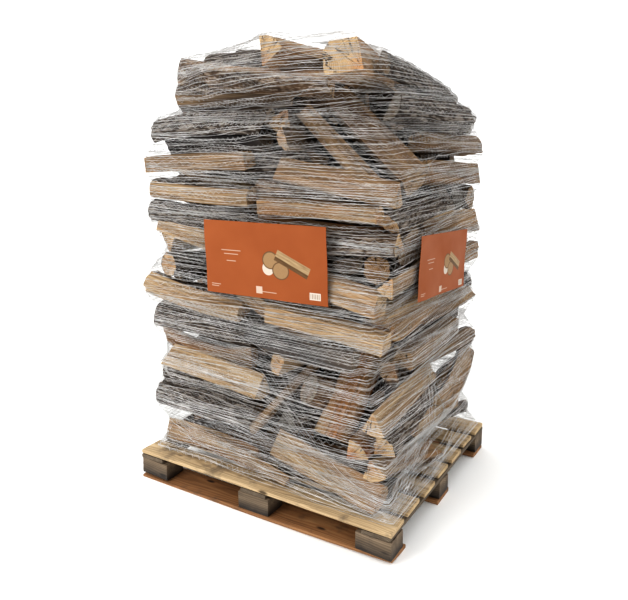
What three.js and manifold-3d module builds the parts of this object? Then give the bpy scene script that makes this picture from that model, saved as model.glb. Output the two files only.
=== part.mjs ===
// Split firewood on a pallet, held by stretched netting, with two printed cards.
// Millimetres, +Z up. The origin is the centre of the pallet's footprint, on the ground.
// +X runs along the long front side and +Y from the front to the back.
import * as THREE from "three";
import { mergeVertices } from "three/addons/utils/BufferGeometryUtils.js";
import Module from "manifold-3d";

const wasm = await Module();
wasm.setup();

// ---- Driving dimensions -------------------------------------------------
const PALLET = {
  length: 1200,
  width: 1000,
  skid: { width: 125, height: 18 },
  block: { length: 145, width: 100, height: 72 },
  bearer: { width: 120, height: 17 },
  deck: { boards: 7, width: 110, height: 18, setBack: 8 },
};
const BEARER_UNDER = PALLET.skid.height + PALLET.block.height;
const DECK_UNDER = BEARER_UNDER + PALLET.bearer.height;
const DECK_TOP = DECK_UNDER + PALLET.deck.height;

const LOG_LENGTH = 490;
const GAP = 0.6; // between pieces that lie against each other
const CORNER_RADIUS = 32; // of the stack, seen from above
const CORNER_STEPS = 3;
const WAIST = 14; // how far the stack draws in where two courses meet

// Each course is one layer of loose logs: its height, and how far it reaches each way.
const COURSES = [
  { height: 150, left: -545, right: 552, front: -456, back: 462 },
  { height: 165, left: -590, right: 560, front: -454, back: 478 },
  { height: 165, left: -556, right: 556, front: -454, back: 462 },
  { height: 165, left: -586, right: 552, front: -452, back: 480 },
  { height: 165, left: -562, right: 556, front: -452, back: 466 },
  { height: 165, left: -592, right: 550, front: -452, back: 482 },
  { height: 165, left: -560, right: 566, front: -454, back: 470 },
  { height: 165, left: -586, right: 574, front: -456, back: 482 },
  { height: 155, left: -560, right: 566, front: -454, back: 462 },
];
// The heap on top draws in as it rises.
const HEAP = [
  { height: 0, left: -545, right: 545, front: -440, back: 445 },
  { height: 80, left: -515, right: 500, front: -425, back: 410 },
  { height: 150, left: -440, right: 400, front: -370, back: 330 },
];

// The netting stops just above the deck, where it spreads towards the deck's right end.
const NET = { clearance: 2, thickness: 2.5, foot: { lift: 4, right: 588, front: -470 } };
// Each card's size, where its middle lies along its side and up, and how far it hangs askew.
const CARDS = {
  thickness: 1.2,
  offset: 1,
  front: { width: 550, height: 284, along: 44, up: 1025, askew: -1.4 },
  right: { width: 490, height: 240, along: 2, up: 989, askew: -5 },
};

const WOOD = {
  pallet: "#9a7f5c",
  fresh: "#c9a878",
  aged: "#a88a63",
  bark: "#6f4e36",
  pile: "#8d7a62",
};

// ---- Materials -----------------------------------------------------------
const materials = new Map();

function matte(colour, roughness = 0.85) {
  const key = colour + roughness;
  if (!materials.has(key)) {
    materials.set(key, new THREE.MeshStandardMaterial({ color: colour, roughness, metalness: 0 }));
  }
  return materials.get(key);
}

// ---- Solids --------------------------------------------------------------
// A closed geometry as a manifold-3d solid, turned and moved by a matrix.
function toSolid(geometry, matrix = new THREE.Matrix4()) {
  const bare = new THREE.BufferGeometry();
  bare.setAttribute("position", geometry.getAttribute("position").clone());
  if (geometry.index) bare.setIndex(geometry.index.clone());
  bare.applyMatrix4(matrix);
  const merged = mergeVertices(bare, 1e-3);
  return new wasm.Manifold(
    new wasm.Mesh({
      numProp: 3,
      vertProperties: merged.attributes.position.array,
      triVerts: new Uint32Array(merged.index.array),
    }),
  );
}

function toGeometry(solid) {
  const mesh = solid.getMesh();
  const geometry = new THREE.BufferGeometry();
  geometry.setAttribute("position", new THREE.BufferAttribute(mesh.vertProperties, mesh.numProp));
  geometry.setIndex(new THREE.BufferAttribute(mesh.triVerts, 1));
  return geometry;
}

// The biggest of the bodies that a cut leaves.
function biggest(solid) {
  const bodies = solid.decompose();
  return bodies.reduce((best, body) => (body.volume() > best.volume() ? body : best));
}

function box(name, size, centre, material) {
  const mesh = new THREE.Mesh(new THREE.BoxGeometry(...size), material);
  mesh.name = name;
  mesh.position.set(...centre);
  return mesh;
}

// ---- Pallet --------------------------------------------------------------
function makePallet() {
  const pallet = new THREE.Group();
  const wood = matte(WOOD.pallet);
  const { skid, block, bearer, deck } = PALLET;
  const rows = { front: -1, middle: 0, back: 1 };
  const columns = { left: -1, centre: 0, right: 1 };
  const skidY = (PALLET.width - skid.width) / 2;
  const blockY = (PALLET.width - block.width) / 2;
  const columnX = (PALLET.length - block.length) / 2;

  for (const [row, side] of Object.entries(rows)) {
    const skidSize = [PALLET.length, skid.width, skid.height];
    pallet.add(box(`skid_${row}`, skidSize, [0, side * skidY, skid.height / 2], wood));
    for (const [column, end] of Object.entries(columns)) {
      const blockSize = [block.length, block.width, block.height];
      const blockAt = [end * columnX, side * blockY, skid.height + block.height / 2];
      pallet.add(box(`block_${row}_${column}`, blockSize, blockAt, wood));
    }
  }
  for (const [column, end] of Object.entries(columns)) {
    const bearerSize = [bearer.width, PALLET.width, bearer.height];
    const inset = (block.length - bearer.width) / 2;
    const x = end * (columnX + inset);
    pallet.add(box(`bearer_${column}`, bearerSize, [x, 0, BEARER_UNDER + bearer.height / 2], wood));
  }
  const pitch = (PALLET.width - deck.width) / (deck.boards - 1);
  for (let i = 0; i < deck.boards; i += 1) {
    const length = PALLET.length - (i % 2) * deck.setBack;
    const y = -(PALLET.width - deck.width) / 2 + i * pitch;
    const size = [length, deck.width, deck.height];
    pallet.add(box(`deck_board_${i + 1}`, size, [0, y, DECK_UNDER + deck.height / 2], wood));
  }
  return pallet;
}

// ---- Log sections --------------------------------------------------------
// Each is a convex outline about its own centre: x to the log's side, y to its top.
function arcPoints(radius, from, to, steps) {
  return Array.from({ length: steps + 1 }, (_, i) => {
    const angle = THREE.MathUtils.degToRad(from + ((to - from) * i) / steps);
    return new THREE.Vector2(radius * Math.cos(angle), radius * Math.sin(angle));
  });
}

const SECTIONS = {
  // A whole round log.
  round: (diameter) => arcPoints(diameter / 2, 0, 330, 11),
  // A log split once: flat below, bark above.
  half: (diameter) => arcPoints(diameter / 2, 0, 180, 7),
  // A wedge with its point at the pith and bark on its outside.
  wedge: (radius, angle) => [new THREE.Vector2(0, 0), ...arcPoints(radius, 90 - angle / 2, 90 + angle / 2, 4)],
  // A squared piece with one corner lost to the bark.
  billet: (width, height) => [
    new THREE.Vector2(0, 0),
    new THREE.Vector2(width, height * 0.06),
    new THREE.Vector2(width * 0.97, height * 0.72),
    new THREE.Vector2(width * 0.74, height),
    new THREE.Vector2(width * 0.05, height * 0.94),
  ],
};

function sectionOutline([kind, ...sizes]) {
  const points = SECTIONS[kind](...sizes);
  const low = new THREE.Vector2(Infinity, Infinity);
  const high = new THREE.Vector2(-Infinity, -Infinity);
  points.forEach((p) => {
    low.min(p);
    high.max(p);
  });
  const middle = low.add(high).multiplyScalar(0.5);
  return points.map((p) => p.sub(middle));
}

// The same outline moved out by a margin from its centre.
function grown(outline, margin) {
  return outline.map((p) => p.clone().setLength(p.length() + margin));
}

function prism(outline, length) {
  const geometry = new THREE.ExtrudeGeometry(new THREE.Shape(outline), {
    depth: length,
    steps: 1,
    bevelEnabled: false,
  });
  return geometry.translate(0, 0, -length / 2);
}

// ---- Logs that can be told apart ------------------------------------------
// at is the log's middle. heading turns it in plan from +X towards +Y, slope lifts its far end,
// and roll turns it about its own length. out is the side of the stack that it lies on.
const LOGS = [
  // Front side, from the top down.
  { name: "log_leaning_wide", section: ["billet", 104, 128], at: [340, -142, 1462], heading: 164, slope: 36, roll: 134, out: "front" },
  { name: "log_leaning_narrow", section: ["billet", 70, 84], at: [250, -240, 1421], heading: 160, slope: 33, roll: 126, out: "front" },
  { name: "log_sloping", section: ["wedge", 90, 58], at: [318, -398, 1326], heading: -2, slope: -8, roll: 178, out: "front" },
  { name: "log_upper_left", section: ["billet", 70, 62], at: [-312, -396, 1375], heading: 3, slope: 3, roll: 8, out: "front" },
  { name: "log_above_card", section: ["billet", 72, 54], at: [248, -404, 1226], heading: 0, slope: 0, roll: 4, out: "front" },
  { name: "log_round_upper", section: ["round", 92], at: [-312, -386, 1152], heading: 2, slope: -4, roll: 0, out: "front" },
  { name: "log_beside_card", section: ["billet", 78, 88], at: [262, -400, 955], heading: -2, slope: -11, roll: -6, out: "front" },
  { name: "log_below_card", section: ["billet", 84, 70], at: [272, -394, 798], heading: 3, slope: -7, roll: 5, out: "front" },
  { name: "log_bark", section: ["half", 146], at: [332, -248, 556], heading: 80, slope: 50, roll: 36, out: "front" },
  { name: "log_stick_diagonal", section: ["wedge", 42, 55], at: [98, -352, 506], heading: 30, slope: 47, roll: 150, out: "front" },
  { name: "log_pale", section: ["wedge", 106, 62], at: [-262, -388, 522], heading: -1, slope: -5, roll: 172, out: "front" },
  { name: "log_round_left", section: ["round", 120], at: [-318, -368, 352], heading: 3, slope: -2, roll: 0, out: "front" },
  { name: "log_foot", section: ["half", 116], at: [275, -390, 228], heading: -4, slope: -11, roll: -110, out: "front" },
  { name: "log_stick_foot", section: ["wedge", 42, 60], at: [-122, -424, 197], heading: 0, slope: -11, roll: 165, out: "front" },
  { name: "log_end_low", section: ["wedge", 86, 70], at: [400, -190, 358], heading: 92, slope: 2, roll: 40, out: "front" },
  // Right side, from the top down.
  { name: "log_right_high", section: ["billet", 84, 92], at: [508, 190, 1322], heading: 88, slope: -5, roll: -12, out: "right" },
  { name: "log_right_thin", section: ["wedge", 66, 55], at: [508, -78, 806], heading: 91, slope: 4, roll: 170, out: "right" },
  { name: "log_right_grey", section: ["billet", 78, 70], at: [500, 40, 652], heading: 90, slope: 1, roll: 5, out: "right" },
  { name: "log_right_pale", section: ["wedge", 96, 60], at: [488, -190, 502], heading: 89, slope: 6, roll: 186, out: "right" },
  { name: "log_right_low", section: ["half", 104], at: [498, 140, 318], heading: 91, slope: -6, roll: -84, out: "right" },
  // Left side.
  { name: "log_left_side", section: ["half", 112], at: [-498, 60, 842], heading: 88, slope: 5, roll: 84, out: "left" },
  // Top of the stack.
  { name: "log_top_block", section: ["billet", 136, 112], at: [302, -190, 1722], heading: 103, slope: -6, roll: -8, out: "top" },
  { name: "log_top_middle", section: ["wedge", 108, 66], at: [70, -160, 1758], heading: 84, slope: -3, roll: 30, out: "top" },
  { name: "log_top_round", section: ["round", 98], at: [-232, 110, 1792], heading: 3, slope: -2, roll: 0, out: "top" },
];

const WOOD_OF_SECTION = { round: WOOD.bark, half: WOOD.aged, wedge: WOOD.fresh, billet: WOOD.fresh };
const OUTWARD = {
  front: new THREE.Vector3(0, -1, 0),
  back: new THREE.Vector3(0, 1, 0),
  left: new THREE.Vector3(-1, 0, 0),
  right: new THREE.Vector3(1, 0, 0),
  top: new THREE.Vector3(0, 0, 1),
};

// Puts the log's length along its heading and slope, its top upwards.
function logMatrix({ at, heading, slope, roll }) {
  const turn = THREE.MathUtils.degToRad(heading);
  const lift = THREE.MathUtils.degToRad(slope);
  const along = new THREE.Vector3(
    Math.cos(lift) * Math.cos(turn),
    Math.cos(lift) * Math.sin(turn),
    Math.sin(lift),
  );
  const side = new THREE.Vector3(-Math.sin(turn), Math.cos(turn), 0);
  const top = new THREE.Vector3().crossVectors(along, side);
  return new THREE.Matrix4()
    .makeBasis(side, top, along)
    .multiply(new THREE.Matrix4().makeRotationZ(THREE.MathUtils.degToRad(roll)))
    .setPosition(...at);
}

function makeLog(log) {
  const outline = sectionOutline(log.section);
  const mesh = new THREE.Mesh(prism(outline, LOG_LENGTH), matte(WOOD_OF_SECTION[log.section[0]]));
  mesh.name = log.name;
  mesh.applyMatrix4(logMatrix(log));
  return mesh;
}

// The room that a log takes out of its courses: itself, and its way out to the open.
function logRoom(log) {
  const outline = grown(sectionOutline(log.section), 2 * GAP);
  const geometry = prism(outline, LOG_LENGTH + 2 * GAP);
  const here = logMatrix(log);
  return [0, 25, 50].map((shift) => {
    const away = OUTWARD[log.out].clone().multiplyScalar(shift);
    const moved = new THREE.Matrix4().makeTranslation(away.x, away.y, away.z).multiply(here);
    return toSolid(geometry, moved);
  });
}

// ---- Courses of loose logs -------------------------------------------------
// A rectangle with round corners that reaches left, right, front and back, moved by a margin.
function stackOutline({ left, right, front, back }, margin = 0) {
  const r = CORNER_RADIUS + margin;
  const [rightX, leftX] = [right - CORNER_RADIUS, left + CORNER_RADIUS];
  const [backY, frontY] = [back - CORNER_RADIUS, front + CORNER_RADIUS];
  const corners = [
    [rightX, backY, 0],
    [leftX, backY, 90],
    [leftX, frontY, 180],
    [rightX, frontY, 270],
  ];
  return corners.flatMap(([x, y, from]) =>
    arcPoints(r, from, from + 90, CORNER_STEPS).map((p) => p.add(new THREE.Vector2(x, y))),
  );
}

// The reach where two courses meet: the smaller of the two, drawn in by the waist.
function waistBetween(a, b) {
  return {
    left: Math.max(a.left, b.left) + WAIST,
    right: Math.min(a.right, b.right) - WAIST,
    front: Math.max(a.front, b.front) + WAIST,
    back: Math.min(a.back, b.back) - WAIST,
  };
}

// The reach of stretched netting there: the bigger of the two.
function netBetween(a, b) {
  return {
    left: Math.min(a.left, b.left),
    right: Math.max(a.right, b.right),
    front: Math.min(a.front, b.front),
    back: Math.max(a.back, b.back),
  };
}

// Every level of the stack, from the deck to the top of the heap. between gives the reach where
// two courses meet.
function stackLevels(between) {
  const levels = [];
  let z = DECK_TOP;
  COURSES.forEach((course, i) => {
    const below = COURSES[i - 1] ?? course;
    levels.push({ z, ...between(below, course) });
    levels.push({ z: z + course.height / 2, ...course });
    z += course.height;
  });
  HEAP.forEach((level) => levels.push({ ...level, z: z + level.height }));
  return levels;
}

// Rings of points joined row to row into one closed surface. closed joins the last row to the
// first; otherwise the first and last rows are filled.
function loft(rows, closed) {
  const count = rows[0].points.length;
  const positions = rows.flatMap(({ z, points }) => points.flatMap((p) => [p.x, p.y, z]));
  const faces = [];
  const bands = closed ? rows.length : rows.length - 1;
  for (let i = 0; i < bands; i += 1) {
    const next = (i + 1) % rows.length;
    for (let j = 0; j < count; j += 1) {
      const k = (j + 1) % count;
      const [a, b, c, d] = [i * count + j, i * count + k, next * count + k, next * count + j];
      faces.push(a, b, c, a, c, d);
    }
  }
  const last = (rows.length - 1) * count;
  for (let j = 1; !closed && j < count - 1; j += 1) {
    faces.push(0, j + 1, j, last, last + j, last + j + 1);
  }
  const geometry = new THREE.BufferGeometry();
  geometry.setAttribute("position", new THREE.Float32BufferAttribute(positions, 3));
  return geometry.setIndex(faces);
}

function makeCourse(levels, name, rooms) {
  const rows = levels.map((level, i) => {
    const isTop = i === levels.length - 1;
    return { z: level.z - (isTop ? GAP : 0), points: stackOutline(level) };
  });
  let solid = toSolid(loft(rows, false));
  rooms.forEach((room) => {
    solid = solid.subtract(room);
  });
  const mesh = new THREE.Mesh(toGeometry(biggest(solid)), matte(WOOD.pile, 0.95));
  mesh.name = name;
  return mesh;
}

function makeCourses(rooms) {
  const stack = new THREE.Group();
  const levels = stackLevels(waistBetween);
  COURSES.forEach((_, i) => {
    stack.add(makeCourse(levels.slice(2 * i, 2 * i + 3), `course_${i + 1}`, rooms));
  });
  stack.add(makeCourse(levels.slice(2 * COURSES.length), "course_heap", rooms));
  return stack;
}

// ---- Netting ----------------------------------------------------------------
// A thin sleeve that follows the stack closely, open at its top and its foot.
function makeNet() {
  const levels = stackLevels(netBetween).slice(0, -1);
  const { lift, right, front } = NET.foot;
  Object.assign(levels[0], { z: levels[0].z + lift, right, front });
  const outside = levels.map((level) => ({
    z: level.z,
    points: stackOutline(level, NET.clearance + NET.thickness),
  }));
  const inside = levels.map((level) => ({ z: level.z, points: stackOutline(level, NET.clearance) }));
  const mesh = new THREE.Mesh(loft([...outside, ...inside.reverse()], true), matte("#dcdcd6", 0.6));
  mesh.name = "net";
  return mesh;
}

// ---- Printed cards ------------------------------------------------------------
// Each card lies flat against the outside of the netting.
function makeCards() {
  const cards = new THREE.Group();
  const paper = matte("#c25a2a", 0.55);
  const { thickness, offset, front, right } = CARDS;
  const out = NET.clearance + NET.thickness + offset + thickness / 2;
  const behind = COURSES.slice(4, 7); // the courses that the cards lie against
  const frontY = Math.min(...behind.map((course) => course.front)) - out;
  const rightX = Math.max(...behind.map((course) => course.right)) + out;

  const frontSize = [front.width, thickness, front.height];
  const rightSize = [thickness, right.width, right.height];
  const frontCard = box("card_front", frontSize, [front.along, frontY, front.up], paper);
  const rightCard = box("card_right", rightSize, [rightX, right.along, right.up], paper);
  frontCard.rotation.y = THREE.MathUtils.degToRad(front.askew);
  rightCard.rotation.x = THREE.MathUtils.degToRad(right.askew);
  cards.add(frontCard, rightCard);
  return cards;
}

// ---- The whole object -----------------------------------------------------------
const firewood = new THREE.Group();
firewood.add(makePallet());
firewood.add(...LOGS.map(makeLog));
firewood.add(makeCourses(LOGS.flatMap(logRoom)));
firewood.add(makeNet());
firewood.add(makeCards());

export default firewood;
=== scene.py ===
"""Split firewood on a block pallet, held by stretched netting, with two printed cards.

Lengths are metres. +X runs along the long front side and +Y from the front to the back.
"""
import math

import bpy
import numpy as np
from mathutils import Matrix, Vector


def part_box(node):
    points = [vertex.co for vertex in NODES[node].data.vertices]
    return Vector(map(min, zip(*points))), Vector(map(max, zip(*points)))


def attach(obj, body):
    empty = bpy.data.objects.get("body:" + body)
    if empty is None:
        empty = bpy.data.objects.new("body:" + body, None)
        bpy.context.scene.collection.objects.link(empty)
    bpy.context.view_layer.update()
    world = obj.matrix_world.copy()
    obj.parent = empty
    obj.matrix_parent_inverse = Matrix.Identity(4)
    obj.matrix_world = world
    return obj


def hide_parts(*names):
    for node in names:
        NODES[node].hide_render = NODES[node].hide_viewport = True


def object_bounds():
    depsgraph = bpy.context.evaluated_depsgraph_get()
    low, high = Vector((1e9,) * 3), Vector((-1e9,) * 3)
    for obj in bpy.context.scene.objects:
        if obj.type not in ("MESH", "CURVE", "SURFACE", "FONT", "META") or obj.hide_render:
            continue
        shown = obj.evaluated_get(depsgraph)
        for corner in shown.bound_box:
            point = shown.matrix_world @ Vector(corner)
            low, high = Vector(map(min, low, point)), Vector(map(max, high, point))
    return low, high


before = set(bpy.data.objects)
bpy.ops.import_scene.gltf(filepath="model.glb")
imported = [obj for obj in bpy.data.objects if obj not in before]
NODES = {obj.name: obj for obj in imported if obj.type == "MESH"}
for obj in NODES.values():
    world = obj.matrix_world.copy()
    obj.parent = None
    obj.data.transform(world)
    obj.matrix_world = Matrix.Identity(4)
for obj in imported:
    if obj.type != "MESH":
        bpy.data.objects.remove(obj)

CAD_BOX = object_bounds()
TAU = 2 * math.pi

DECK_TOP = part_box("deck_board_1")[1][2]
LOG_LENGTH = 0.49
LOOSE_LOGS = 185
EYE = (1.481, -2.399, 1.538)  # where the camera stands
TIP = 0.6  # how much of its radius a log's bar is shorter by at each end
SPLIT_SIZE = 1.13  # a split section's radius over its bar's
SHOWN_FRONT = -0.13  # a log whose middle lies further forward than this has to stay in sight
SHOWN_RIGHT = 0.42  # and so has one that lies further right than this
COURSES = [f"course_{i}" for i in range(1, 10)] + ["course_heap"]


# ---- Shaders ------------------------------------------------------------------------


class Value:
    """One number of a material, with arithmetic that adds Math nodes."""

    def __init__(self, finish, socket):
        self.finish = finish
        self.socket = socket

    def math(self, operation, *others):
        """This number and the others through one Math node."""
        inputs = dict(enumerate((self, *others)))
        return self.finish.node("Math", {"operation": operation}, inputs).value()

    def __add__(self, other):
        return self.math("ADD", other)

    def __sub__(self, other):
        return self.math("SUBTRACT", other)

    def __rsub__(self, other):
        return self.finish.node("Math", {"operation": "SUBTRACT"}, {0: other, 1: self}).value()

    def __mul__(self, other):
        return self.math("MULTIPLY", other)

    def __truediv__(self, other):
        return self.math("DIVIDE", other)

    __radd__ = __add__
    __rmul__ = __mul__

    def between(self, low, high):
        """0 at low and below, 1 at high and above, eased between them."""
        settings = {"interpolation_type": "SMOOTHSTEP"}
        return self.finish.node("MapRange", settings, {0: self, 1: low, 2: high}).value()

    def inside(self, low, high, edge=0.0004):
        """1 between low and high and 0 outside them."""
        return self.between(low - edge, low) * (1 - self.between(high, high + edge))


class Node:
    """A shader node, and what comes out of it."""

    def __init__(self, finish, node):
        self.finish = finish
        self.node = node

    def out(self, name=0):
        return self.node.outputs[name]

    def value(self, name=0):
        return Value(self.finish, self.out(name))


class Finish:
    """A material, from a Principled shader and the nodes that feed it."""

    def __init__(self, name, roughness=0.8):
        self.material = bpy.data.materials.new(name)
        self.material.use_nodes = True
        self.tree = self.material.node_tree
        self.shader = self.tree.nodes["Principled BSDF"]
        self.shader.inputs["Roughness"].default_value = roughness

    def feed(self, socket, source):
        """Links a socket to a source, or sets it to a plain value."""
        if isinstance(source, Value):
            source = source.socket
        if isinstance(source, bpy.types.NodeSocket):
            self.tree.links.new(source, socket)
        else:
            socket.default_value = source

    def node(self, kind, settings=None, inputs=None):
        """Adds one node: first its settings, then the values or links of its sockets."""
        node = self.tree.nodes.new("ShaderNode" + kind)
        for key, setting in (settings or {}).items():
            if key == "stops":
                self.set_stops(node.color_ramp, setting)
            else:
                setattr(node, key, setting)
        for key, source in (inputs or {}).items():
            self.feed(node.inputs[key], source)
        return Node(self, node)

    def set_stops(self, ramp, stops):
        """Gives a colour ramp its stops, from position to colour."""
        while len(ramp.elements) < len(stops):
            ramp.elements.new(1.0)
        for element, (position, colour) in zip(ramp.elements, stops):
            element.position = position
            element.color = (*colour, 1.0)

    def field(self, name):
        """A vector that the mesh holds under a name."""
        return self.node("Attribute", {"attribute_name": name}).out("Vector")

    def amount(self, name):
        """A number that the mesh holds under a name."""
        return self.node("Attribute", {"attribute_name": name}).value("Fac")

    def place(self):
        """Where a point lies on the object."""
        return self.node("TexCoord").out("Object")

    def parts(self, vector):
        """The three numbers of a vector."""
        split = self.node("SeparateXYZ", inputs={0: vector})
        return split.value(0), split.value(1), split.value(2)

    def stretched(self, vector, scale):
        """A vector with each of its parts times its own scale."""
        return self.node("VectorMath", {"operation": "MULTIPLY"}, {0: vector, 1: scale}).out()

    def noise(self, vector, scale, detail=3.0, roughness=0.55, seed=0.0):
        """Cloudy noise from 0 to 1."""
        inputs = {"Vector": vector, "Scale": scale, "Detail": detail, "Roughness": roughness}
        return self.node("TexNoise", {"noise_dimensions": "4D"}, inputs | {"W": seed}).value("Fac")

    def spots(self, vector, scale):
        """How far a point lies from the nearest of some scattered points."""
        return self.node("TexVoronoi", {"feature": "F1"}, {"Vector": vector, "Scale": scale}).value()

    def ramp(self, amount, stops):
        """A colour that runs through the stops."""
        return self.node("ValToRGB", {"stops": stops}, {0: amount}).out()

    def mix(self, amount, first, second, blend="MIX"):
        """first where amount is 0, second where it is 1."""
        settings = {"data_type": "RGBA", "blend_type": blend}
        return self.node("Mix", settings, {0: amount, 6: first, 7: second}).out(2)

    def colour(self, source):
        self.feed(self.shader.inputs["Base Color"], source)

    def roughness(self, source):
        self.feed(self.shader.inputs["Roughness"], source)

    def relief(self, height, distance, strength=1.0):
        """Bumps the surface by a height from 0 to 1 times the distance."""
        inputs = {"Strength": strength, "Distance": distance, "Height": height}
        self.feed(self.shader.inputs["Normal"], self.node("Bump", inputs=inputs).out())


def opaque(red, green, blue):
    return (red, green, blue, 1.0)


def log_side():
    """Bark and split faces. The mesh's grain is a place in the log with its pith at x = y = 0
    and its length along z. Its mood is how pale, how weathered and how orange the log is."""
    f = Finish("log_side", roughness=0.86)
    grain = f.field("grain")
    x, y, _ = f.parts(grain)
    pale, weathered, orange = f.parts(f.field("mood"))
    seed = pale * 31 + weathered * 17
    wander = f.noise(f.stretched(grain, (14, 14, 3)), 1, 2, seed=seed)
    radius = (x * x + y * y).math("SQRT")
    rings = ((radius * 290 + wander * 5) * TAU).math("SINE") * 0.5 + 0.5
    fibre = f.noise(f.stretched(grain, (330, 330, 9)), 1, 4, 0.65, seed)
    streak = f.noise(f.stretched(grain, (46, 46, 2.6)), 1, 4, 0.6, seed)
    broad = f.noise(f.stretched(grain, (12, 12, 3.5)), 1, 2, 0.5, seed + 5)

    tone = streak * 0.75 + fibre * 0.3 + rings * 0.1 + pale * 0.5 - 0.42
    fresh = f.ramp(tone, [
        (0.05, (0.045, 0.028, 0.016)),
        (0.28, (0.135, 0.084, 0.046)),
        (0.52, (0.290, 0.196, 0.110)),
        (0.78, (0.520, 0.392, 0.240)),
        (1.00, (0.700, 0.580, 0.395)),
    ])
    heart = f.mix(orange * broad.between(0.35, 0.65), fresh, opaque(0.86, 0.50, 0.26), "MULTIPLY")
    dull = f.ramp(tone, [
        (0.10, (0.032, 0.032, 0.034)),
        (0.45, (0.100, 0.095, 0.091)),
        (0.85, (0.290, 0.270, 0.243)),
    ])
    wood = f.mix((weathered * 1.5 + broad - 0.9).between(0.0, 0.7), heart, dull)
    crack = f.noise(f.stretched(grain, (95, 95, 2.2)), 1, 2, 0.5, seed + 9)
    split = (crack - 0.5).math("ABSOLUTE").between(0.004, 0.022)
    wood = f.mix(split * 0.6 + 0.4, opaque(0.06, 0.04, 0.028), wood)

    crust = f.noise(grain, 85, 4, 0.7, seed)
    furrow = f.noise(f.stretched(grain, (75, 75, 13)), 1, 3, 0.65, seed + 2)
    ridge = (furrow - 0.5).math("ABSOLUTE").between(0.0, 0.10)
    # The bark's colour follows its relief, in the orange bark as well: dark down in the furrows and pale
    # grey on the ridges. This is partly the bark's own colour, and partly painted shade in the furrows and
    # a painted highlight on the ridges.
    rise_and_shade = ridge * 0.55 + crust * 0.45
    skin = f.ramp(rise_and_shade, [
        (0.15, (0.022, 0.017, 0.014)),
        (0.40, (0.070, 0.053, 0.042)),
        (0.65, (0.150, 0.122, 0.100)),
        (0.90, (0.290, 0.262, 0.230)),
    ])
    russet = f.ramp(rise_and_shade * 0.6 + streak * 0.5, [
        (0.25, (0.110, 0.055, 0.028)),
        (0.55, (0.420, 0.245, 0.125)),
        (0.85, (0.600, 0.430, 0.270)),
    ])
    skin = f.mix((orange * broad.between(0.2, 0.6) * 1.1).between(0, 1), skin, russet)
    bark = (f.amount("bark") + (streak - 0.5) * 0.5).between(0.42, 0.58)

    f.colour(f.mix(bark, wood, skin))
    f.relief(bark * rise_and_shade * 2.2 + (1 - bark) * (fibre * 0.45 + streak * 0.5 + split * 0.25), 0.004)
    return f.material


def log_end():
    """Sawn ends: growth rings, drying cracks that run out from the pith, and saw marks."""
    f = Finish("log_end", roughness=0.9)
    grain = f.field("grain")
    x, y, _ = f.parts(grain)
    pale, weathered, orange = f.parts(f.field("mood"))
    seed = pale * 31 + weathered * 17
    radius = (x * x + y * y).math("SQRT")
    wander = f.noise(grain, 22, 2, seed=seed)
    rings = ((radius * 170 + wander * 4) * TAU).math("SINE") * 0.5 + 0.5
    around = y.math("ARCTAN2", x)
    spoke = f.node("CombineXYZ", inputs={0: around * 2.2, 1: radius * 4, 2: seed}).out()
    drying = (f.noise(spoke, 1.6, 2) - 0.5).math("ABSOLUTE").between(0.003, 0.018)
    drying = drying.math("MAXIMUM", 1 - radius.between(0.008, 0.022))
    saw = f.noise(f.stretched(grain, (420, 30, 1)), 1, 3, 0.6, seed)
    patch = f.noise(grain, 34, 3, 0.6, seed + 3)
    tone = rings * 0.30 + saw * 0.35 + patch * 0.55 + pale * 0.35 - 0.38
    cut = f.ramp(tone, [
        (0.10, (0.130, 0.080, 0.045)),
        (0.40, (0.360, 0.240, 0.130)),
        (0.70, (0.600, 0.445, 0.270)),
        (0.95, (0.760, 0.625, 0.430)),
    ])
    heart = (1 - radius.between(0.012, 0.075)) * (orange * 0.9 + 0.1)
    cut = f.mix(heart, cut, opaque(0.80, 0.42, 0.20), "MULTIPLY")
    dull = f.ramp(tone, [(0.1, (0.06, 0.055, 0.05)), (0.9, (0.40, 0.37, 0.32))])
    cut = f.mix((weathered * 1.5 + patch - 0.95).between(0.0, 0.7), cut, dull)
    cut = f.mix(drying, opaque(0.045, 0.03, 0.02), cut)
    bark = (f.amount("bark") + (patch - 0.5) * 0.4).between(0.4, 0.6)
    f.colour(f.mix(bark, cut, opaque(0.07, 0.05, 0.038)))
    f.relief(saw * 0.5 + rings * 0.25 + drying * 0.6, 0.003)
    return f.material


def sawn_wood(name, dark, middle, light, damp=0.0):
    """Rough sawn pallet wood: long grain, knots, saw fuzz, dirt, and a damp foot."""
    f = Finish(name, roughness=0.85)
    grain = f.field("grain")
    x, y, _ = f.parts(grain)
    seed = f.parts(f.field("mood"))[0] * 23
    wander = f.noise(f.stretched(grain, (9, 9, 2)), 1, 2, seed=seed)
    rings = (((x * x + y * y).math("SQRT") * 150 + wander * 6) * TAU).math("SINE") * 0.5 + 0.5
    fibre = f.noise(f.stretched(grain, (300, 300, 8)), 1, 4, 0.65, seed)
    streak = f.noise(f.stretched(grain, (36, 36, 2.4)), 1, 4, 0.6, seed)
    knots = f.spots(f.stretched(grain, (13, 13, 4.5)), 1).between(0.05, 0.13)
    dirt = f.noise(f.place(), 11, 4, 0.65, seed)
    tone = streak * 0.7 + fibre * 0.25 + rings * 0.18 - 0.1
    wood = f.ramp(tone, [(0.15, dark), (0.48, middle), (0.85, light)])
    wood = f.mix(knots, opaque(*(0.5 * part for part in dark)), wood)
    wood = f.mix(dirt.between(0.5, 0.72) * 0.6, wood, opaque(0.075, 0.06, 0.048))
    height = f.parts(f.place())[2]
    wet = ((1 - (height + (dirt - 0.5) * 0.05).between(0.004, 0.085)) * damp).math("MINIMUM", 1)
    wood = f.mix(wet, wood, opaque(0.028, 0.02, 0.015))
    f.colour(wood)
    f.roughness(0.88 - wet * 0.3)
    f.relief(fibre * 0.5 + streak * 0.4 + knots * 0.2 + rings * 0.1, 0.003)
    return f.material


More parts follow.
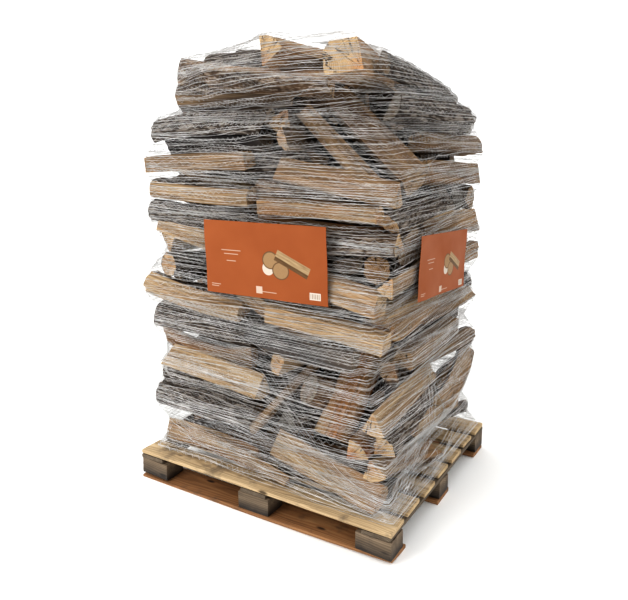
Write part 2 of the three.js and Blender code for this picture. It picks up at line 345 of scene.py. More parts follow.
def thread_finish():
    """White knitted plastic thread, a little greyer where dust lies on it."""
    f = Finish("net_thread", roughness=0.42)
    dust = f.noise(f.place(), 16, 3, 0.6)
    f.colour(f.ramp(dust, [(0.3, (0.40, 0.40, 0.39)), (0.62, (0.64, 0.63, 0.62))]))
    return f.material


# ---- Meshes ---------------------------------------------------------------------------


def new_piece(name, points, quads, triangles, finishes, slots=None, fields=None, stands_for=()):
    """A mesh object from arrays. slots gives each face's finish, quads first, and fields gives
    each point's named numbers or vectors."""
    mesh = bpy.data.meshes.new(name)
    corners = np.concatenate([quads.ravel(), triangles.ravel()]).astype(np.int32)
    starts = np.concatenate([
        np.arange(len(quads)) * 4,
        len(quads) * 4 + np.arange(len(triangles)) * 3,
    ]).astype(np.int32)
    mesh.vertices.add(len(points))
    mesh.vertices.foreach_set("co", points.astype(np.float32).ravel())
    mesh.loops.add(len(corners))
    mesh.loops.foreach_set("vertex_index", corners)
    mesh.polygons.add(len(starts))
    mesh.polygons.foreach_set("loop_start", starts)
    for finish in finishes:
        mesh.materials.append(finish)
    if slots is not None:
        mesh.polygons.foreach_set("material_index", slots.astype(np.int32))
    mesh.update(calc_edges=True)
    for key, values in (fields or {}).items():
        kind, part = ("FLOAT", "value") if values.ndim == 1 else ("FLOAT_VECTOR", "vector")
        mesh.attributes.new(key, kind, "POINT").data.foreach_set(part, values.astype(np.float32).ravel())
    mesh.polygons.foreach_set("use_smooth", np.ones(len(starts), bool))
    mesh.set_sharp_from_angle(angle=math.radians(38))
    piece = bpy.data.objects.new(name, mesh)
    bpy.context.scene.collection.objects.link(piece)
    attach(piece, "root")
    if stands_for:
        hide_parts(*stands_for)
    return piece


def waves(rng, u, v, across, along, count=7):
    """A sum of sines with random directions, periodic in u from 0 to 1: about -1 to 1."""
    turns = rng.integers(1, across + 1, count)
    rates = rng.uniform(-along, along, count)
    phases = rng.uniform(0, TAU, count)
    angles = TAU * (u[..., None] * turns + v[..., None] * rates) + phases
    return np.sin(angles).mean(-1) * 1.6


def timber(outline, bark, length, rings, rng, mood, rough=0.0012, lumps=0.003, bow=0.006, skew=0.06):
    """One piece of wood about its own length, z.

    The outline is carried from end to end along a slightly bowed and twisted line, with long
    ridges where it was split and lumps where it has bark. Each end is the outline drawn in to
    a centre point. Returns points, quads, triangles, the quads' slots and the fields.
    """
    around = len(outline)
    u, v = np.meshgrid(np.arange(around) / around, np.linspace(0, 1, rings))
    ridge = waves(rng, u, v, around // 3, 0.7) + 0.6 * waves(rng, u, v, around // 2, 2.5)
    lump = waves(rng, u, v, around // 4, 6)
    swell = 1 + 0.035 * waves(rng, u * 0, v, 1, 1.2)
    centre = outline.mean(0)
    spokes = outline - centre
    reach = np.linalg.norm(spokes, axis=1)
    push = ridge * rough + bark * lump * lumps
    flat = centre + spokes * (swell + push / reach)[..., None]
    twist = (v - 0.5) * rng.normal(0, 0.10)
    turned = np.stack([
        flat[..., 0] * np.cos(twist) - flat[..., 1] * np.sin(twist),
        flat[..., 0] * np.sin(twist) + flat[..., 1] * np.cos(twist),
    ], -1)
    lean = rng.normal(0, 1, 2) * bow
    turned = turned + ((v - 0.5) ** 2 * 4 - 0.4)[..., None] * lean
    cut = (turned - centre) @ rng.normal(0, skew, (2, 2)).T
    z = (v - 0.5) * length + np.where(v < 0.5, cut[..., 0], cut[..., 1]) * np.abs(2 * v - 1) ** 3
    side = np.concatenate([turned, z[..., None]], -1)
    grain = np.concatenate([flat, z[..., None]], -1)

    points = [side.reshape(-1, 3)]
    grains = [grain.reshape(-1, 3)]
    barks = [np.tile(bark, rings)]
    ring = np.arange(around)
    onward = (ring + 1) % around
    steps = (np.arange(rings - 1) * around)[:, None]
    quads = [np.stack([steps + ring, steps + onward, steps + around + onward, steps + around + ring], -1)]
    triangles = []
    slots = [np.zeros(quads[0].size // 4)]
    count = rings * around
    for row, flip in ((0, True), (rings - 1, False)):
        rim = row * around + ring
        middle = side[row].mean(0)
        heart = grain[row].mean(0)
        for share in (0.09, 0.5):
            inner = count + ring
            points.append(side[row] * (1 - share) + middle * share)
            grains.append(grain[row] * (1 - share) + heart * share)
            barks.append(np.zeros(around))
            face = np.stack([rim, rim[onward], inner[onward], inner], -1)
            quads.append(face[:, ::-1] if flip else face)
            slots.append(np.ones(around))
            rim = inner
            count += around
        points.append(middle[None])
        grains.append(heart[None])
        barks.append(np.zeros(1))
        face = np.stack([rim, rim[onward], np.full(around, count)], -1)
        triangles.append(face[:, ::-1] if flip else face)
        count += 1
    points = np.concatenate(points)
    fields = {
        "grain": np.concatenate(grains),
        "bark": np.concatenate(barks),
        "mood": np.broadcast_to(mood, points.shape).copy(),
    }
    quads = np.concatenate([part.reshape(-1, 4) for part in quads])
    return points, quads, np.concatenate(triangles), np.concatenate(slots), fields


def joined(parts):
    """Several pieces of timber as the arrays of one mesh."""
    starts = np.cumsum([0] + [len(part[0]) for part in parts])
    points = np.concatenate([part[0] for part in parts])
    quads = np.concatenate([part[1] + start for part, start in zip(parts, starts)])
    triangles = np.concatenate([part[2] + start for part, start in zip(parts, starts)])
    slots = np.concatenate([part[3] for part in parts] + [np.ones(len(triangles))])
    fields = {key: np.concatenate([part[4][key] for part in parts]) for key in parts[0][4]}
    return points, quads, triangles, slots, fields


def placed(part, middle, axes):
    """A piece of timber turned so that its x, y and z lie along the rows of axes, and moved."""
    return (part[0] @ axes + middle, *part[1:])


def axes_along(along, roll):
    """Three square directions, the last along a line and the others turned about it."""
    along = along / np.linalg.norm(along)
    side = np.cross((0.0, 0.0, 1.0), along)
    if np.linalg.norm(side) < 0.05:
        side = np.array((1.0, 0.0, 0.0))
    side = side / np.linalg.norm(side)
    top = np.cross(along, side)
    turned = np.cos(roll) * side + np.sin(roll) * top
    return np.array([turned, np.cross(along, turned), along])


# ---- Log sections -----------------------------------------------------------------------


def even(points, flags, count):
    """A closed outline as points at even steps along it, and its flags there."""
    closed = np.vstack([points, points[:1]])
    travel = np.concatenate([[0], np.cumsum(np.linalg.norm(np.diff(closed, axis=0), axis=1))])
    stops = np.arange(count) / count * travel[-1]
    outline = np.stack([np.interp(stops, travel, closed[:, i]) for i in (0, 1)], -1)
    index = np.searchsorted(travel, stops, side="right") - 1
    return outline, flags[np.minimum(index, len(flags) - 1)].astype(float)


def section(kind, size, rng, count):
    """The outline of a split log about its pith, and where it has bark, that fits a circle of
    the given radius. A wedge has its point at the pith. A half is cut through the pith. A
    billet is squared, with bark left on one side. A round keeps all of its bark."""
    if kind == "round":
        angles = np.linspace(0, TAU, 25)[:-1]
        points = np.stack([np.cos(angles), np.sin(angles) * rng.uniform(0.86, 1)], -1)
        flags = np.ones(24, bool)
    elif kind == "half":
        angles = np.linspace(0, math.pi, 14)
        points = np.stack([np.cos(angles), np.sin(angles) * rng.uniform(0.8, 1.05)], -1)
        flags = np.arange(14) < 13
    elif kind == "wedge":
        spread = rng.uniform(0.9, 1.7)
        angles = math.pi / 2 + np.linspace(-spread / 2, spread / 2, 11)
        arc = np.stack([np.cos(angles), np.sin(angles)], -1) * 1.75
        points = np.vstack([arc, (rng.normal(0, 0.12), 0.0)])
        flags = np.arange(12) < 10
    else:
        wide = rng.uniform(0.62, 0.9)
        low = rng.uniform(0.05, 0.5)
        points = np.array([
            (-wide, low), (wide, low + rng.normal(0, 0.08)), (wide * 0.95, low + 0.75),
            (wide * 0.45, low + 1.15), (-wide * 0.5, low + 1.2), (-wide * 0.97, low + 0.8),
        ])
        flags = np.array([0, 0, 1, rng.random() < 0.6, 0, 0], bool)
    middle = (points.min(0) + points.max(0)) / 2
    scale = size / np.linalg.norm(points - middle, axis=1).max()
    outline, bark = even(points * scale, flags, count)
    return outline, bark


def mood_of(rng):
    """How pale, how weathered and how orange a log is, each from 0 to 1."""
    return np.array([rng.beta(1.7, 2.0), rng.beta(1.7, 1.9), rng.beta(1.0, 2.6)])


# ---- The loose logs ------------------------------------------------------------------------


def nearest(start, along, other, across):
    """How far along each of two straight lines, from 0 to 1, they come nearest."""
    gap = start - other
    a = (along * along).sum(1)
    b = (along * across).sum(1)
    c = (across * across).sum(1)
    d = (along * gap).sum(1)
    e = (across * gap).sum(1)
    s = np.clip((b * e - c * d) / np.maximum(a * c - b * b, 1e-7), 0, 1)
    t = np.clip((b * s + e) / c, 0, 1)
    s = np.clip((b * t - d) / a, 0, 1)
    return s, t


def gap_between(ends, others):
    """How near each bar's middle line comes to each of the others."""
    i, j = (part.ravel() for part in np.indices((len(ends), len(others))))
    along, across = ends[i, 1] - ends[i, 0], others[j, 1] - others[j, 0]
    s, t = nearest(ends[i, 0], along, others[j, 0], across)
    here = ends[i, 0] + along * s[:, None]
    there = others[j, 0] + across * t[:, None]
    return np.linalg.norm(here - there, axis=1).reshape(len(ends), len(others))


def heap_top(x, y):
    """The height of the stack's top: a dome that falls off to the right and the back."""
    rightward = np.clip((x + 0.1) / 0.6, 0, 1)
    backward = np.maximum(y + 0.25, 0)
    leftward = np.maximum(-0.35 - x, 0)
    return 1.855 - 0.085 * rightward - 0.25 * backward * rightward - 0.4 * leftward


def settle(ends, radius, loose, reach, rounds=320, outward=0.6):
    """Logs as round bars between two ends. For the outward share of the rounds they spread a
    little from the stack's middle towards its outside. In each round any two that overlap are
    pushed apart where they come nearest, and each keeps its length and stays inside the reach
    of the stack at its height."""
    first, second = np.triu_indices(len(ends), 1)
    either = loose[first] | loose[second]
    first, second = first[either], second[either]
    span = np.linalg.norm(ends[:, 1] - ends[:, 0], axis=1)
    room = radius[first] + radius[second]
    far = 0.5 * (span[first] + span[second]) + room
    for step in range(rounds):
        middle = ends.mean(1, keepdims=True)
        spread = (middle - (0.0, 0.0, 0.95)) * (0.0016, 0.0018, 0.0006)
        if step < rounds * outward:
            ends += spread * loose[:, None, None]
        middle = ends.mean(1)
        close = np.linalg.norm(middle[first] - middle[second], axis=1) < far
        i, j, touch = first[close], second[close], room[close]
        s, t = nearest(ends[i, 0], ends[i, 1] - ends[i, 0], ends[j, 0], ends[j, 1] - ends[j, 0])
        here = ends[i, 0] * (1 - s)[:, None] + ends[i, 1] * s[:, None]
        there = ends[j, 0] * (1 - t)[:, None] + ends[j, 1] * t[:, None]
        apart = here - there
        distance = np.maximum(np.linalg.norm(apart, axis=1), 1e-6)
        hit = distance < touch
        i, j, s, t = i[hit], j[hit], s[hit], t[hit]
        push = apart[hit] * ((touch - distance)[hit] / distance[hit])[:, None] * 0.55
        share = loose[i] / (loose[i].astype(float) + loose[j])
        move = np.zeros_like(ends)
        for log, place, part, sign in ((i, s, share, 1), (j, t, 1 - share, -1)):
            weight = (1 - place) ** 2 + place ** 2
            np.add.at(move, (log, 0), sign * push * (part * (1 - place) / weight)[:, None])
            np.add.at(move, (log, 1), sign * push * (part * place / weight)[:, None])
        ends += np.clip(move, -0.02, 0.02) * loose[:, None, None]
        middle = ends.mean(1, keepdims=True)
        half = ends - middle
        length = np.linalg.norm(half[:, 1] - half[:, 0], axis=1)
        stretch = np.where(loose, span / length, 1.0)
        ends[:] = middle + half * stretch[:, None, None]
        low, high = reach(ends[..., 2])
        inner = radius[:, None] * 0.92
        for axis in (0, 1):
            kept = np.clip(ends[..., axis], low[axis] + inner, high[axis] - inner)
            ends[loose, :, axis] = kept[loose]
        roof = heap_top(ends[..., 0], ends[..., 1]) - radius[:, None]
        ends[loose, :, 2] = np.clip(ends[..., 2], DECK_TOP + radius[:, None] * 0.85, roof)[loose]
    return ends


def stack_reach(margin):
    """A function from heights to how far the stack reaches each way, from the courses' boxes.
    margin draws each log in by an amount of its own."""
    boxes = np.array([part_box(name) for name in COURSES])
    levels = boxes[:, :, 2].mean(1)

    def reach(z):
        low = [np.interp(z, levels, boxes[:, 0, axis]) + margin for axis in (0, 1)]
        high = [np.interp(z, levels, boxes[:, 1, axis]) - margin for axis in (0, 1)]
        return low, high

    return reach


def cad_log(name):
    """A named log's middle, axes and outline, from its CAD solid: the long axis comes from the
    spread of its corners, and the outline is one end seen along that axis."""
    mesh = NODES[name].data
    points = np.empty(len(mesh.vertices) * 3)
    mesh.vertices.foreach_get("co", points)
    points = np.unique(points.reshape(-1, 3).round(5), axis=0)
    middle = points.mean(0)
    axes = axes_along(np.linalg.svd(points - middle)[2][0], 0.0)
    local = (points - middle) @ axes.T
    cap = local[local[:, 2] > 0][:, :2]
    order = np.argsort(np.arctan2(*(cap - cap.mean(0)).T[::-1]))
    return middle, axes, cap[order]


LOG_KINDS = {
    "log_leaning_wide": ("billet", 0.42, 0.35, 0.20),
    "log_leaning_narrow": ("billet", 0.50, 0.30, 0.20),
    "log_sloping": ("wedge", 0.60, 0.10, 0.25),
    "log_upper_left": ("billet", 0.70, 0.25, 0.20),
    "log_above_card": ("billet", 0.78, 0.05, 0.35),
    "log_round_upper": ("round", 0.30, 0.60, 0.05),
    "log_beside_card": ("billet", 0.86, 0.05, 0.20),
    "log_below_card": ("billet", 1.00, 0.00, 0.15),
    "log_bark": ("billet", 0.85, 0.02, 0.85),
    "log_stick_diagonal": ("wedge", 0.55, 0.40, 0.10),
    "log_pale": ("wedge", 1.00, 0.05, 0.05),
    "log_round_left": ("round", 0.45, 0.45, 0.10),
    "log_foot": ("half", 0.86, 0.05, 0.30),
    "log_stick_foot": ("wedge", 0.85, 0.10, 0.20),
    "log_end_low": ("wedge", 0.70, 0.00, 0.95),
    "log_right_high": ("billet", 0.55, 0.35, 0.30),
    "log_right_thin": ("wedge", 0.72, 0.20, 0.20),
    "log_right_grey": ("billet", 0.62, 0.35, 0.10),
    "log_right_pale": ("wedge", 0.90, 0.10, 0.10),
    "log_right_low": ("half", 0.80, 0.15, 0.20),
    "log_left_side": ("half", 0.60, 0.30, 0.20),
    "log_top_block": ("billet", 0.85, 0.00, 0.45),
    "log_top_middle": ("wedge", 0.80, 0.20, 0.40),
    "log_top_round": ("round", 0.10, 0.90, 0.00),
}


def pith_of(kind, cap):
    """Where the pith lies for an outline: its middle, the middle of its longest side, or its
    sharpest corner."""
    if kind == "round":
        return cap.mean(0)
    onward = np.roll(cap, -1, axis=0)
    before = np.roll(cap, 1, axis=0)
    if kind == "half":
        longest = np.linalg.norm(onward - cap, axis=1).argmax()
        return (cap[longest] + onward[longest]) / 2
    forth = onward - cap
    back = before - cap
    turn = (forth * back).sum(1) / np.linalg.norm(forth, axis=1) / np.linalg.norm(back, axis=1)
    return cap[turn.argmax()]


def named_logs(side, end):
    """Each log that has a node of its own, as its CAD section with the surface of split wood.
    Returns every log's two ends and its radius, for the loose ones to lie against."""
    ends, radii, skins = [], [], []
    for number, (name, (kind, *mood)) in enumerate(LOG_KINDS.items()):
        rng = np.random.default_rng(900 + number)
        middle, axes, cap = cad_log(name)
        pith = pith_of(kind, cap)
        far = np.linalg.norm(cap - pith, axis=1)
        edge = np.linalg.norm(np.roll(cap, -1, axis=0) - cap, axis=1)
        curved = (np.minimum(far, np.roll(far, -1)) > 0.9 * far.max()) & (edge < 0.9 * edge.max())
        flags = np.ones(len(cap), bool) if kind == "round" else curved & (kind == "half")
        outline, bark = even(cap - pith, flags, 60)
        bark = np.convolve(np.r_[bark[-1:], bark, bark[:1]], [0.25, 0.5, 0.25], "valid")
        part = timber(outline, bark, LOG_LENGTH, 34, rng, np.array(mood), rough=0.0011, bow=0.002)
        whole = joined([placed(part, middle + pith @ axes[:2], axes)])
        piece = new_piece(name, *whole[:3], [side, end], whole[3], whole[4], [name])
        radius = np.linalg.norm(cap - cap.mean(0), axis=1).mean() * 0.9
        half = axes[2] * (LOG_LENGTH / 2 - radius * TIP)
        ends.append((middle - half, middle + half))
        radii.append(radius)
        skins.append(whole[0])
    return np.array(ends), np.array(radii), skins


# Logs listed one by one at the sides in sight and on top, before they are pushed clear of each
# other: section, radius, middle, the heading and slope of the length, and mood.
SEEN_LOGS = [
    ("wedge", 0.052, (-0.33, -0.38, 1.03), 5, -38, (0.95, 0.05, 0.15)),
    ("billet", 0.050, (-0.33, -0.38, 0.83), 4, -17, (0.90, 0.05, 0.15)),
    ("wedge", 0.050, (-0.49, -0.14, 1.02), 87, 1, (0.85, 0.10, 0.25)),
    ("half", 0.048, (-0.49, -0.07, 1.13), 88, 0, (0.55, 0.40, 0.15)),
    ("round", 0.044, (-0.475, -0.17, 0.905), 85, -2, (0.70, 0.25, 0.15)),
    ("half", 0.060, (-0.34, -0.37, 0.69), 2, 3, (0.45, 0.55, 0.10)),
    ("wedge", 0.046, (-0.05, -0.38, 0.80), -4, -30, (0.90, 0.00, 0.25)),
    ("wedge", 0.046, (0.30, -0.37, 1.10), 4, 5, (0.92, 0.05, 0.30)),
    ("billet", 0.050, (-0.30, -0.38, 1.26), 2, -2, (0.80, 0.20, 0.10)),
    ("half", 0.062, (-0.30, -0.36, 1.53), 6, 4, (0.50, 0.60, 0.05)),
    ("billet", 0.056, (-0.22, -0.30, 1.66), 12, 5, (0.55, 0.45, 0.15)),
    ("wedge", 0.056, (0.02, -0.27, 1.69), 10, 4, (0.75, 0.30, 0.45)),
    ("half", 0.056, (-0.10, -0.36, 1.36), 3, -3, (0.35, 0.70, 0.05)),
    ("billet", 0.044, (0.12, -0.18, 0.64), 80, 4, (0.95, 0.00, 0.20)),
    ("wedge", 0.052, (-0.30, -0.38, 0.19), 4, -7, (0.85, 0.05, 0.50)),
    ("half", 0.056, (-0.34, -0.37, 0.60), 0, -3, (0.60, 0.20, 0.45)),
    ("billet", 0.054, (0.48, -0.10, 0.86), 84, 6, (0.85, 0.10, 0.10)),
    ("wedge", 0.052, (0.48, -0.16, 0.43), 88, 22, (0.90, 0.05, 0.20)),
    ("wedge", 0.040, (0.50, -0.19, 0.97), 86, 12, (0.80, 0.10, 0.20)),
    ("billet", 0.056, (0.48, 0.25, 1.46), 84, -9, (0.60, 0.35, 0.20)),
    ("half", 0.058, (0.49, -0.12, 1.20), 88, 3, (0.80, 0.20, 0.15)),
    ("billet", 0.054, (0.49, 0.25, 1.10), 84, -3, (0.70, 0.25, 0.25)),
    ("wedge", 0.045, (0.49, 0.26, 0.735), 84, 1, (0.65, 0.30, 0.15)),
    ("billet", 0.044, (0.49, 0.26, 0.565), 85, -2, (0.55, 0.40, 0.10)),
    ("billet", 0.042, (0.16, -0.40, 0.69), 1, -5, (0.30, 0.60, 0.10)),
    ("half", 0.060, (0.46, 0.02, 1.56), 82, -6, (0.40, 0.65, 0.05)),
    ("wedge", 0.046, (0.43, -0.04, 1.675), 84, -14, (0.45, 0.60, 0.05)),
    ("billet", 0.048, (0.47, 0.25, 1.575), 83, -3, (0.50, 0.50, 0.10)),
    ("half", 0.052, (-0.24, -0.10, 1.765), 7, 1, (0.35, 0.70, 0.05)),
    ("round", 0.046, (-0.14, 0.10, 1.79), -5, 0, (0.30, 0.60, 0.10)),
    ("billet", 0.048, (0.20, 0.10, 1.73), 12, -3, (0.55, 0.45, 0.10)),
    ("wedge", 0.050, (0.48, -0.19, 0.20), 88, -4, (0.80, 0.15, 0.35)),
    ("round", 0.050, (-0.33, -0.37, 0.47), 0, 2, (0.30, 0.60, 0.10)),
    ("wedge", 0.046, (0.49, 0.25, 0.455), 84, 3, (0.75, 0.20, 0.20)),
    ("billet", 0.042, (0.49, 0.26, 0.965), 84, -4, (0.75, 0.20, 0.20)),
    ("billet", 0.044, (0.48, 0.26, 0.335), 85, 3, (0.60, 0.30, 0.20)),
    ("half", 0.050, (0.47, 0.24, 0.205), 84, -2, (0.50, 0.45, 0.10)),
]


def seen_ends():
    """The two ends of each log in sight, as bars with round tips inside the log's length."""
    ends = []
    for _, radius, middle, heading, slope, _ in SEEN_LOGS:
        turn, rise_and_shade = math.radians(heading), math.radians(slope)
        along = (math.cos(turn) * math.cos(rise_and_shade), math.sin(turn) * math.cos(rise_and_shade), math.sin(rise_and_shade))
        half = np.array(along) * (LOG_LENGTH / 2 - radius * TIP)
        ends.append((np.array(middle) - half, np.array(middle) + half))
    return np.array(ends)


def kept_clear(ends, radii):
    """Unseen bars in front of the logs that have to stay in sight, and their radii: the same
    bars moved in steps straight out from the right side, or towards the eye."""
    middle = ends.mean(1)
    at_right = middle[:, 0] > SHOWN_RIGHT
    away = np.array(EYE) - middle
    away = away / np.linalg.norm(away, axis=1, keepdims=True)
    away[at_right] = (1.0, 0.0, 0.0)
    shown = at_right | (middle[:, 1] < SHOWN_FRONT)
    steps = (0.06, 0.12, 0.18, 0.24, 0.30)
    guards = [(ends + (away * step)[:, None])[shown] for step in steps]
    return np.concatenate(guards), np.tile(radii[shown], len(steps))


def scattered(rng):
    """Bars spread through the stack, most of them along the side that they lie at, and their
    radii."""
    radius = rng.uniform(0.040, 0.070, LOOSE_LOGS)
    low, high = (np.array(corner) for corner in CAD_BOX)
    x = rng.uniform(low[0] + 0.06, high[0] - 0.06, LOOSE_LOGS)
    y = rng.uniform(low[1] + 0.09, high[1] - 0.07, LOOSE_LOGS)
    z = rng.uniform(DECK_TOP + 0.03, high[2] - 0.05, LOOSE_LOGS)
    across = rng.random(LOOSE_LOGS) < np.where(x > 0.28, 0.62, np.where(x < -0.34, 0.30, 0.24))
    heading = np.where(across, math.pi / 2, 0) + rng.normal(0, 0.17, LOOSE_LOGS)
    odd = rng.random(LOOSE_LOGS) < 0.10
    heading = np.where(odd, rng.uniform(0, math.pi, LOOSE_LOGS), heading)
    slope = rng.normal(0, np.where(odd, 0.45, 0.12))
    level = np.cos(slope)
    along = np.stack([np.cos(heading) * level, np.sin(heading) * level, np.sin(slope)], -1)
    half = along * (LOG_LENGTH / 2 - radius * TIP)[:, None]
    middle = np.stack([x, y, z], -1)
    return np.stack([middle - half, middle + half], 1), radius


def placed_by_hand(named_ends, named_radii):
    """The bars of the listed logs, pushed clear of the named logs and each other, and
    back behind the front card. Returns them after the named logs, with all the radii."""
    own = np.array([log[1] for log in SEEN_LOGS])
    ends = np.concatenate([named_ends, seen_ends()])
    radii = np.concatenate([named_radii, own])
    beyond = np.full((len(ends), 1), -0.08)
    settle(ends, radii, np.arange(len(ends)) >= len(named_ends), stack_reach(beyond), 120, 0)
    seen = ends[len(named_ends):]
    card_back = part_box("card_front")[1][1] + 0.006
    forward = card_back - (seen[..., 1].min(1) - SPLIT_SIZE * own)
    seen[..., 1] += np.maximum(forward, 0)[:, None]
    return ends, radii


def split_log(rng, start, stop, size, kind, mood):
    """One split log between the two ends of its bar."""
    outline, bark = section(kind, size * SPLIT_SIZE, rng, 30)
    centre = (outline.max(0) + outline.min(0)) / 2
    length = LOG_LENGTH * rng.uniform(0.95, 1.01)
    mood = mood_of(rng) if mood is None else np.array(mood)
    part = timber(outline, bark, length, 10, rng, mood, rough=0.0036, bow=0.010)
    axes = axes_along(stop - start, rng.uniform(0, TAU))
    return placed(part, (start + stop) / 2 - centre @ axes[:2], axes)


def loose_logs(side, end, named_ends, named_radii):
    """The rest of the logs: those listed one by one, and others that settle in the room that is
    left. Any of the others that still lies in front of a log in sight is left out. Each
    course's logs at each side are one piece."""
    rng = np.random.default_rng(52)
    start_ends, radius = scattered(rng)
    set_ends, set_radii = placed_by_hand(named_ends, named_radii)
    guards, guard_radii = kept_clear(set_ends, set_radii)
    ends = np.concatenate([set_ends, guards, start_ends])
    radii = np.concatenate([set_radii, guard_radii, radius])
    loose = np.arange(len(radii)) >= len(radii) - LOOSE_LOGS
    margin = rng.beta(0.8, 2.6, len(radii))[:, None] * 0.075
    settle(ends, radii, loose, stack_reach(margin), 320)
    ends = ends[loose]
    room = radius[:, None] + guard_radii
    kept = np.flatnonzero(~(gap_between(ends, guards) < 0.8 * room).any(1))

    kinds = rng.choice(["wedge", "billet", "half", "round"], LOOSE_LOGS, p=[0.40, 0.30, 0.18, 0.12])
    laid = [(ends[i], radius[i], kinds[i], None) for i in kept]
    seen = set_ends[len(named_ends):]
    laid += [(bar, log[1], log[0], log[5]) for bar, log in zip(seen, SEEN_LOGS)]
    tops = np.array([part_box(name)[1][2] for name in COURSES[:-1]])
    groups = {}
    skins = []
    for (start, stop), size, kind, mood in laid:
        part = split_log(rng, start, stop, size, kind, mood)
        middle = (start + stop) / 2
        course = COURSES[int(np.searchsorted(tops, middle[2]))]
        where = "right" if middle[0] > 0.2 else "left" if middle[0] < -0.2 else "middle"
        where += "_front" if middle[1] < 0 else "_back"
        groups.setdefault((course, where), []).append(part)
        skins.append(part[0])
    for (course, where), parts in groups.items():
        whole = joined(parts)
        name = f"{course}_logs_{where}"
        piece = new_piece(name, *whole[:3], [side, end], whole[3], whole[4], [course])
    return skins


# ---- Netting ---------------------------------------------------------------------------------

BEARINGS = 360
LEVEL_STEP = 0.008
NET_FOOT = ((-0.548, 0.588), (-0.468, 0.464))  # how far out the net's foot reaches, in x and y
SLACK = 0.75  # how fast the net falls away from a tip, per metre of height
CLOSING_FROM = 1.48  # the height above which the net closes in over the top


def net_surface(skins):
    """How far from the middle the stretched net lies, by level and by bearing.

    At each level the net is the smallest convex outline round the logs there: for each
    direction the furthest point gives a straight limit, and the net lies at the nearest limit
    along its bearing. Above and below a tip it falls away at a steady slope, and faster where
    it closes in over the top. At its foot it reaches out to the deck's right end."""
    foot = [(x, y, DECK_TOP + 0.006) for x in NET_FOOT[0] for y in NET_FOOT[1]]
    skin = np.concatenate([*skins, foot])
    levels = np.arange(DECK_TOP + 0.004, skin[:, 2].max(), LEVEL_STEP)
    angles = np.arange(BEARINGS) / BEARINGS * TAU
    facing = np.stack([np.cos(angles), np.sin(angles)], -1)
    apart = np.cos(angles[:, None] - angles[None, :])
    ahead = apart > 0.2
    surface = np.zeros((len(levels), BEARINGS))
    for row, level in enumerate(levels):
        close = np.abs(skin[:, 2] - level) < LEVEL_STEP * 1.6
        if close.any():
            limit = (skin[close, :2] @ facing.T).max(0)
            along = np.where(ahead, limit[None, :] / np.maximum(apart, 0.2), np.inf)
            surface[row] = along.min(1)
    fall = SLACK * LEVEL_STEP
    closing = fall * (1 + 8 * np.clip((levels - CLOSING_FROM) / 0.2, 0, 1))
    for row in range(1, len(levels)):
        surface[row] = np.maximum(surface[row], surface[row - 1] - closing[row])
    for row in range(len(levels) - 2, -1, -1):
        surface[row] = np.maximum(surface[row], surface[row + 1] - fall)
    return levels, surface


def on_net(levels, surface, bearing, z):
    """The distance from the middle of the net at each bearing and height, by bilinear
    interpolation."""
    column = (bearing / TAU * BEARINGS) % BEARINGS
    left = column.astype(int) % BEARINGS
    right = (left + 1) % BEARINGS
    row = np.clip((z - levels[0]) / LEVEL_STEP, 0, len(levels) - 1.001)
    low = row.astype(int)
    a = column - column.astype(int)
    b = row - low
    near = surface[low, left] * (1 - a) + surface[low, right] * a
    over = surface[low + 1, left] * (1 - a) + surface[low + 1, right] * a
    return near * (1 - b) + over * b


def tubes(paths, radii):
    """Closed three-sided threads. Each point of a path is the middle of a triangle, whose
    corners lie at three even angles between straight out and straight up."""
    threads, stops, _ = paths.shape
    outward = paths * (1.0, 1.0, 0.0)
    outward = outward / np.linalg.norm(outward, axis=-1, keepdims=True)
    rings = []
    for corner in (0.0, TAU / 3, 2 * TAU / 3):
        offset = math.cos(corner) * outward + math.sin(corner) * np.array((0.0, 0.0, 1.0))
        rings.append(paths + offset * radii[..., None])
    index = np.arange(threads * stops * 3).reshape(threads, stops, 3)
    onward = np.roll(index, -1, axis=1)
    quads = np.stack([index, onward, np.roll(onward, -1, axis=2), np.roll(index, -1, axis=2)], -1)
    return np.stack(rings, 2).reshape(-1, 3), quads.reshape(-1, 4)


def fewer(paths, stops):
    """Keeps the points of each closed path where it turns most, and some at even steps."""
    turn = np.roll(paths, -1, axis=1) + np.roll(paths, 1, axis=1) - 2 * paths
    sharp = np.linalg.norm(turn, axis=-1)
    sharp[:, :: paths.shape[1] // (stops // 2)] = np.inf
    kept = np.sort(np.argsort(-sharp, axis=1)[:, :stops], axis=1)
    return np.take_along_axis(paths, kept[..., None], 1)


def drawn_together(bearing, z):
    """How far threads at a place are pulled up or down, so that they bunch and part: waves
    round the stack that also turn with height."""
    shift = np.zeros(z.shape)
    for turns, rate, size, phase in (
        (1, 5.0, 0.0060, 0.4), (2, 7.5, 0.0045, 2.1), (3, 11.0, 0.0030, 4.0), (5, 9.0, 0.0022, 1.3),
        (8, 14.0, 0.0014, 5.2), (13, 17.0, 0.0010, 3.1),
    ):
        shift += size * np.sin(turns * bearing + rate * TAU * z + phase)
        shift += size * 0.7 * np.sin(-turns * bearing + rate * 0.8 * TAU * z + phase * 2)
    return shift


def thread_heights(rng, start, bearing, sway):
    """Heights of threads round the stack. Near the top they rise towards the right front
    corner, and each wanders on its own by about sway."""
    z = start[:, None] + np.zeros(len(bearing))
    high = np.clip((start - 1.2) / 0.5, 0, 1)[:, None]
    z = z + 0.035 * high * np.cos(bearing + 0.8)
    for turns in (1, 2, 3, 5, 8, 13):
        phase = rng.uniform(0, TAU, len(start))[:, None]
        size = rng.normal(0, sway / math.sqrt(turns), len(start))[:, None]
        z = z + size * np.sin(turns * bearing + phase)
    return z + drawn_together(bearing, z)


